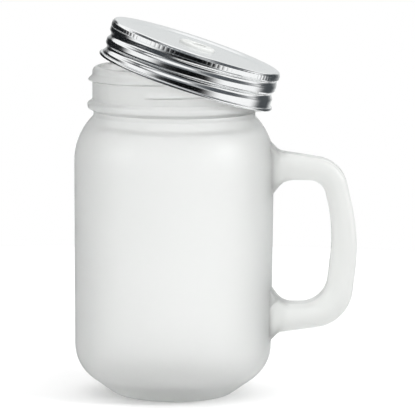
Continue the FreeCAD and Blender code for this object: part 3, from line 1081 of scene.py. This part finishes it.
@dataclass(frozen=True)
class Flag:
    """Board of the studio, a piece of a cylinder round the object, seen only in gloss.

    It draws the metal's reflections and fades out at both ends.
    """

    name: str
    azimuths: tuple[float, float]
    heights: tuple[float, float]
    colour: str = "#060708"
    soft: float = 0.34
    radius: float = 620.0
    steps: int = 48

    def build(self) -> bpy.types.Object:
        """Make the board: (R sin a, -R cos a, z) for azimuths a from the camera's side.

        Its shade is the smooth step of the distance from the nearer end over the soft share.

        Returns:
            The board.
        """
        share = np.linspace(0.0, 1.0, self.steps)[:, None]
        angles = np.radians(self.azimuths[0] + (self.azimuths[1] - self.azimuths[0]) * share)
        points = np.stack(np.broadcast_arrays(
            self.radius * np.sin(angles), -self.radius * np.cos(angles), np.array(self.heights),
        ), axis=-1)
        number = np.arange(2 * self.steps).reshape(self.steps, 2)
        board = link_mesh(self.name, points, grid_quads(number).tolist())
        shade = smooth_step(np.minimum(share, 1.0 - share) / self.soft)
        attribute = board.data.attributes.new("shade", "FLOAT", "POINT")
        attribute.data.foreach_set("value", np.repeat(shade, 2).astype(np.float32))
        board.data.materials.append(self.material())
        for ray in ("camera", "diffuse", "transmission", "shadow"):
            setattr(board, f"visible_{ray}", False)
        return board

    def material(self) -> bpy.types.Material:
        """Mix from nothing to the board's plain colour by its shade.

        Returns:
            The material.
        """
        material, tree = new_material(self.name)
        shade = add_node(tree, "ShaderNodeAttribute", attribute_name="shade")
        clear = add_node(tree, "ShaderNodeBsdfTransparent")
        plain = add_node(tree, "ShaderNodeEmission", {"Color": to_linear(self.colour)})
        faded = add_node(tree, "ShaderNodeMixShader", {
            "Fac": shade.outputs["Fac"], 1: clear.outputs["BSDF"], 2: plain.outputs["Emission"],
        })
        add_node(tree, "ShaderNodeOutputMaterial", {"Surface": faded.outputs["Shader"]})
        return material


@dataclass(frozen=True)
class Lamp:
    """Softbox aimed at the jar from an azimuth and elevation seen from the camera's side.

    Gloss doesn't show it, because the metal mirrors only the boards.
    """

    name: str
    azimuth: float
    elevation: float
    distance: float
    width: float
    watts: float

    def build(self, target: Vector) -> None:
        """Hang the softbox and aim it.

        Args:
            target: Point that it is aimed at, in metres.
        """
        azimuth, elevation = math.radians(self.azimuth), math.radians(self.elevation)
        level = math.cos(elevation)
        away = Vector((math.sin(azimuth) * level, -math.cos(azimuth) * level, math.sin(elevation)))
        light = bpy.data.lights.new(self.name, "AREA")
        light.shape = "DISK"
        light.size = self.width * MM
        light.energy = self.watts
        lamp = bpy.data.objects.new(self.name, light)
        lamp.location = target + away * self.distance * MM
        lamp.rotation_euler = away.to_track_quat("Z", "Y").to_euler()
        lamp.visible_glossy = False
        bpy.context.scene.collection.objects.link(lamp)


@dataclass(frozen=True)
class Studio:
    """Pale floor, white surroundings, softboxes, boards for the gloss and the camera."""

    aim: tuple[float, float, float] = (13.5, 0.0, 75.5)
    distance: float = 1475.0
    elevation: float = 7.5
    roll: float = 0.42
    pixels_per_mm: float = 2.49
    sensor_mm: float = 36.0
    floor_radii: tuple[float, ...] = (1.0, 60.0, 420.0)
    floor_sides: int = 96
    floor_colour: str = "#FAFAFA"
    fill: float = 1.06
    lamps: tuple[Lamp, ...] = (
        Lamp("front_softbox", azimuth=4, elevation=10, distance=1300, width=620, watts=2.0),
        Lamp("key_softbox", azimuth=65, elevation=25, distance=900, width=300, watts=3.6),
        Lamp("left_softbox", azimuth=-58, elevation=16, distance=1100, width=500, watts=2.5),
    )
    # the far boards show through the soft ends of the near ones
    flags: tuple[Flag, ...] = (
        Flag("front_low_flag", (-60, 45), (-800, 205), soft=0.26),
        Flag("front_high_flag", (-60, 45), (205, 1100), "#74787C"),
        Flag("left_flag", (-176, -82), (-280, 420), "#1A1C1E", soft=0.26),
        Flag("right_flag", (96, 166), (-230, 300), "#45494C"),
        Flag("left_low_flag", (-130, -20), (-900, 150), "#3E4246", radius=660),
        Flag("left_high_flag", (-130, -20), (800, 1700), "#3E4246", radius=660),
        Flag("right_low_flag", (16, 126), (-1500, -600), "#54585C", radius=660),
        Flag("right_high_flag", (16, 126), (300, 1200), "#54585C", radius=660),
        Flag("back_board", (130, 222), (-100, 700), "#DFE1E1", radius=660),
    )

    def build_camera(self) -> None:
        """Set up the camera: an eye on the aim's line of sight, rolled a little to the right."""
        elevation, roll = math.radians(self.elevation), math.radians(self.roll)
        back = Vector((0.0, -math.cos(elevation), math.sin(elevation)))
        right = Vector((1.0, 0.0, 0.0))
        up = back.cross(right)
        tipped = right * math.cos(roll) + up * math.sin(roll)
        camera = bpy.data.cameras.new("camera")
        camera.sensor_width = self.sensor_mm
        camera.lens = self.sensor_mm * self.pixels_per_mm * self.distance / PHOTO_PIXELS
        eye = bpy.data.objects.new("camera", camera)
        turn = Matrix((tipped, back.cross(tipped), back)).transposed()
        place = (Vector(self.aim) + back * self.distance) * MM
        eye.matrix_world = Matrix.Translation(place) @ turn.to_4x4()
        bpy.context.scene.collection.objects.link(eye)
        bpy.context.scene.camera = eye

    def build_world(self) -> None:
        """White surroundings for the eye, gloss and glass, and a softer fill for diffuse light."""
        world = bpy.data.worlds.new("white_studio")
        world.use_nodes = True
        tree = world.node_tree
        tree.nodes.clear()
        path = add_node(tree, "ShaderNodeLightPath")
        seen = path.outputs["Is Camera Ray"]
        for ray in ("Is Glossy Ray", "Is Transmission Ray"):
            seen = add_node(tree, "ShaderNodeMath", {
                0: seen, 1: path.outputs[ray],
            }, operation="MAXIMUM").outputs["Value"]
        level = add_node(tree, "ShaderNodeMapRange", {
            "Value": seen, "To Min": self.fill, "To Max": 1.0,
        })
        light = add_node(tree, "ShaderNodeBackground", {
            "Strength": level.outputs["Result"], "Color": to_linear("#FFFFFF"),
        })
        add_node(tree, "ShaderNodeOutputWorld", {"Surface": light.outputs["Background"]})
        bpy.context.scene.world = world

    def build_floor(self) -> bpy.types.Object:
        """Make the round floor: rings of (r cos a, r sin a, 0), the innermost filled.

        Returns:
            The floor.
        """
        radii = np.array(self.floor_radii)
        rings = np.stack([radii, np.zeros_like(radii)], axis=1)
        points = turned(rings, full_turn(self.floor_sides))
        number = np.arange(radii.size * self.floor_sides).reshape(radii.size, self.floor_sides)
        quads = grid_quads(np.hstack([number, number[:, :1]]))
        floor = link_mesh("floor", points, quads.tolist() + [number[0].tolist()])
        # a matt laminate keeps the soft shadow and mirrors nothing
        material, tree = new_material("white_laminate")
        shader = add_node(tree, "ShaderNodeBsdfDiffuse", {"Color": to_linear(self.floor_colour)})
        add_node(tree, "ShaderNodeOutputMaterial", {"Surface": shader.outputs["BSDF"]})
        floor.data.materials.append(material)
        floor.visible_glossy = False
        return floor

    def build(self) -> None:
        """Build the whole studio."""
        self.build_camera()
        self.build_world()
        for lamp in self.lamps:
            lamp.build(Vector(self.aim) * MM)
        self.build_floor()
        for flag in self.flags:
            flag.build()


def main() -> None:
    """Build the studio, the mug and its lid, and report each piece's face count."""
    logging.basicConfig(level=logging.INFO, format="%(name)s: %(message)s")
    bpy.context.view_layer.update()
    bpy.context.scene.view_settings.view_transform = "Standard"
    Studio().build()

    hollow = FrostedGlass()
    # the handle is solid, and its glass takes a denser tint than the jar's: painted shade that
    # darkens the handle beside the body
    shade_darkened_glass = FrostedGlass(
        "shade_darkened_acid_etched_soda_lime_glass", body_tint="#B6BAB4", tint_per_metre=36.0)
    silicone = SoftMoulding(
        "moulded_silicone", light="#F7F8F6", dark="#ECEEEC", roughness=0.42, transmission=0.3)
    rubber = SoftMoulding(
        "moulded_white_rubber", light="#E4E1D8", dark="#D6D2C7", roughness=0.68, transmission=0.0)
    jar, lid = GlassJar(), ScrewLid()
    pose = LidPose.from_joint("lid_turn")
    pieces = [
        jar.build(hollow.material()),
        GlassHandle().build(jar, shade_darkened_glass.material()),
        *lid.build(pose, Tinplate().material(pose)),
        StrawGrommet().build(lid, pose, silicone.material()),
        SealRing().build(pose, rubber.material()),
    ]
    for piece in pieces:
        log.info("%s: %d faces", piece.name, len(piece.data.polygons))


if __name__ == "__main__":
    main()
